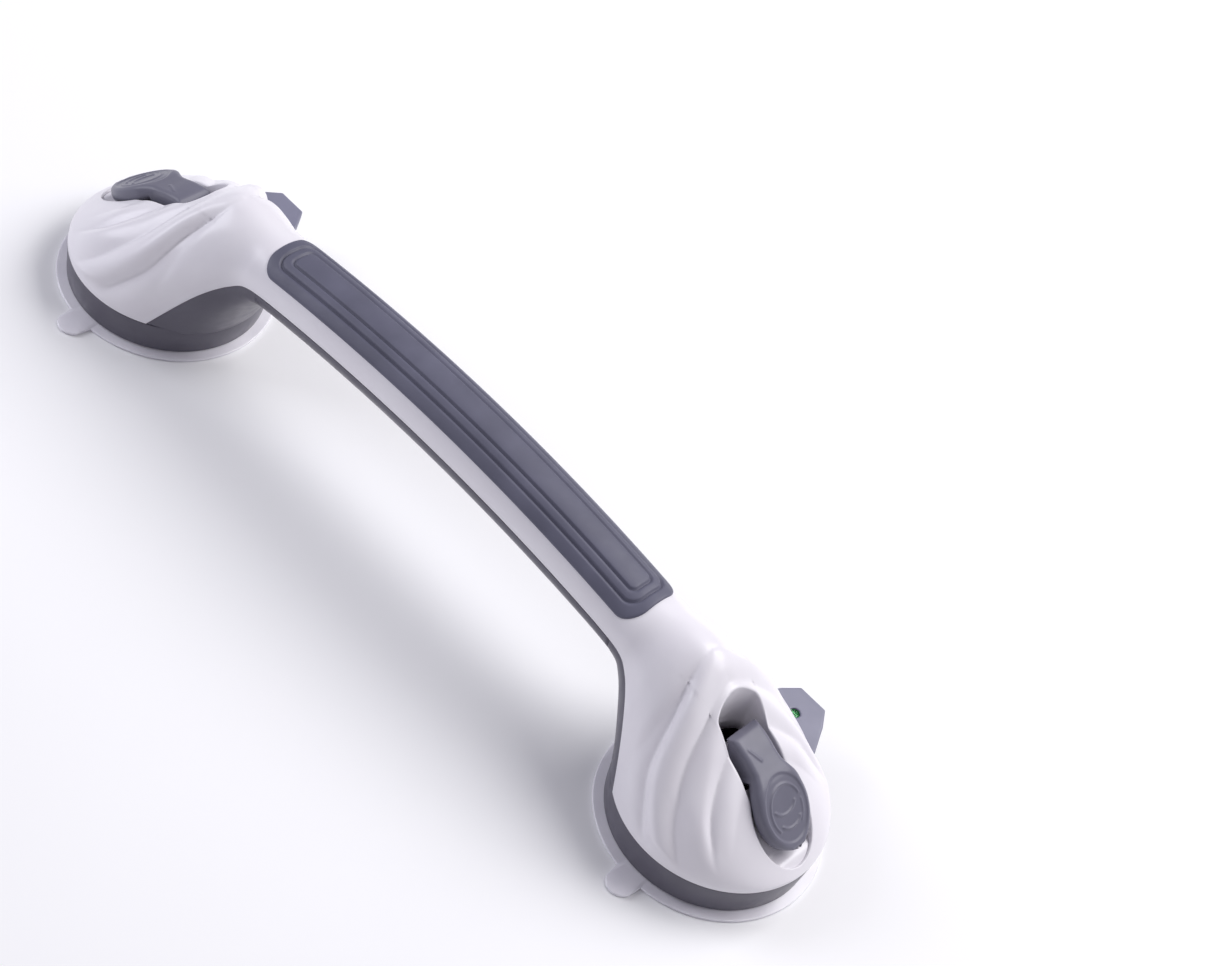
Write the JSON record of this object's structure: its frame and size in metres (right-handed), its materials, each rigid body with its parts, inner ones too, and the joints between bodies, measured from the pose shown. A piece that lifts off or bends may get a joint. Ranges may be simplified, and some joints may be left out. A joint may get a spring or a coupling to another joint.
{
  "type": "suction grab bar",
  "caption": "Curved grab bar with a rubber-faced handle between lever-locked suction heads, each with a flip-up cam lever, a soft cup and a seal indicator tab.",
  "frame": {"origin": "middle of the handle's length and width, in the plane of the suction faces", "axes": "+X along the handle from the far head to the near head, +Y towards the indicator tabs, +Z away from the wall that the cups grip"},
  "size_m": [0.4198, 0.1167, 0.0809],
  "materials": {
    "white_shell": "gloss",
    "grey_shell": "satin",
    "lever_grey": "gloss",
    "grip_rubber": "matte",
    "cup_vinyl": "soft gloss, slightly see-through",
    "tab_lilac": "satin",
    "flag_green": "matte",
    "clear_window": "clear",
    "steel": "bright"
  },
  "bodies": {
    "grab_bar": {"cam_washer_far": "steel", "cam_washer_near": "steel", "cover_screw_far_1": "steel", "cover_screw_far_2": "steel", "cover_screw_far_3": "steel", "cover_screw_near_1": "steel", "cover_screw_near_2": "steel", "cover_screw_near_3": "steel", "grip_pad": "grip_rubber", "grip_strip": "grip_rubber", "guide_screw_far_1": "steel", "guide_screw_far_2": "steel", "guide_screw_far_3": "steel", "guide_screw_near_1": "steel", "guide_screw_near_2": "steel", "guide_screw_near_3": "steel", "indicator_lens_far": "clear_window", "indicator_lens_near": "clear_window", "indicator_tab_far": "tab_lilac", "indicator_tab_near": "tab_lilac", "lower_shell": "grey_shell", "return_spring_far": "steel", "return_spring_near": "steel", "stud_guide_far": "grey_shell", "stud_guide_near": "grey_shell", "suction_cup_far": "cup_vinyl", "suction_cup_near": "cup_vinyl", "tab_screw_far_1": "steel", "tab_screw_far_2": "steel", "tab_screw_near_1": "steel", "tab_screw_near_2": "steel", "top_cover": "white_shell"},
    "pull_near": {"pull_stud_near": "steel", "cam_pin_near": "steel"},
    "lever_near": {"lever_near": "lever_grey"},
    "flag_near": {"indicator_slider_near": "flag_green"},
    "pull_far": {"pull_stud_far": "steel", "cam_pin_far": "steel"},
    "lever_far": {"lever_far": "lever_grey"},
    "flag_far": {"indicator_slider_far": "flag_green"}
  },
  "joints": [
    {"name": "stud_drop_near", "type": "slide", "parent": "grab_bar", "child": "pull_near", "axis": [0, 0, -1], "range_m": [0, 0.0041], "deforming": ["suction_cup_near", "return_spring_near"]},
    {"name": "lever_lift_near", "type": "hinge", "parent": "pull_near", "child": "lever_near", "pos_m": [0.1635, 0, 0.0455], "axis": [0, -1, 0], "range_deg": [0, 78]},
    {"name": "flag_slide_near", "type": "slide", "parent": "grab_bar", "child": "flag_near", "axis": [0, 1, 0], "range_m": [0, 0.0056]},
    {"name": "stud_drop_far", "type": "slide", "parent": "grab_bar", "child": "pull_far", "axis": [0, 0, -1], "range_m": [0, 0.0041], "deforming": ["suction_cup_far", "return_spring_far"]},
    {"name": "lever_lift_far", "type": "hinge", "parent": "pull_far", "child": "lever_far", "pos_m": [-0.1635, 0, 0.0455], "axis": [0, 1, 0], "range_deg": [0, 78]},
    {"name": "flag_slide_far", "type": "slide", "parent": "grab_bar", "child": "flag_far", "axis": [0, 1, 0], "range_m": [0, 0.0056]}
  ],
  "couplings": [
    {"joint": "stud_drop_near", "follows": "lever_lift_near", "m_per_rad": 0.0029382},
    {"joint": "flag_slide_near", "follows": "lever_lift_near", "m_per_rad": 0.0040401},
    {"joint": "stud_drop_far", "follows": "lever_lift_far", "m_per_rad": 0.0029382},
    {"joint": "flag_slide_far", "follows": "lever_lift_far", "m_per_rad": 0.0040401}
  ]
}
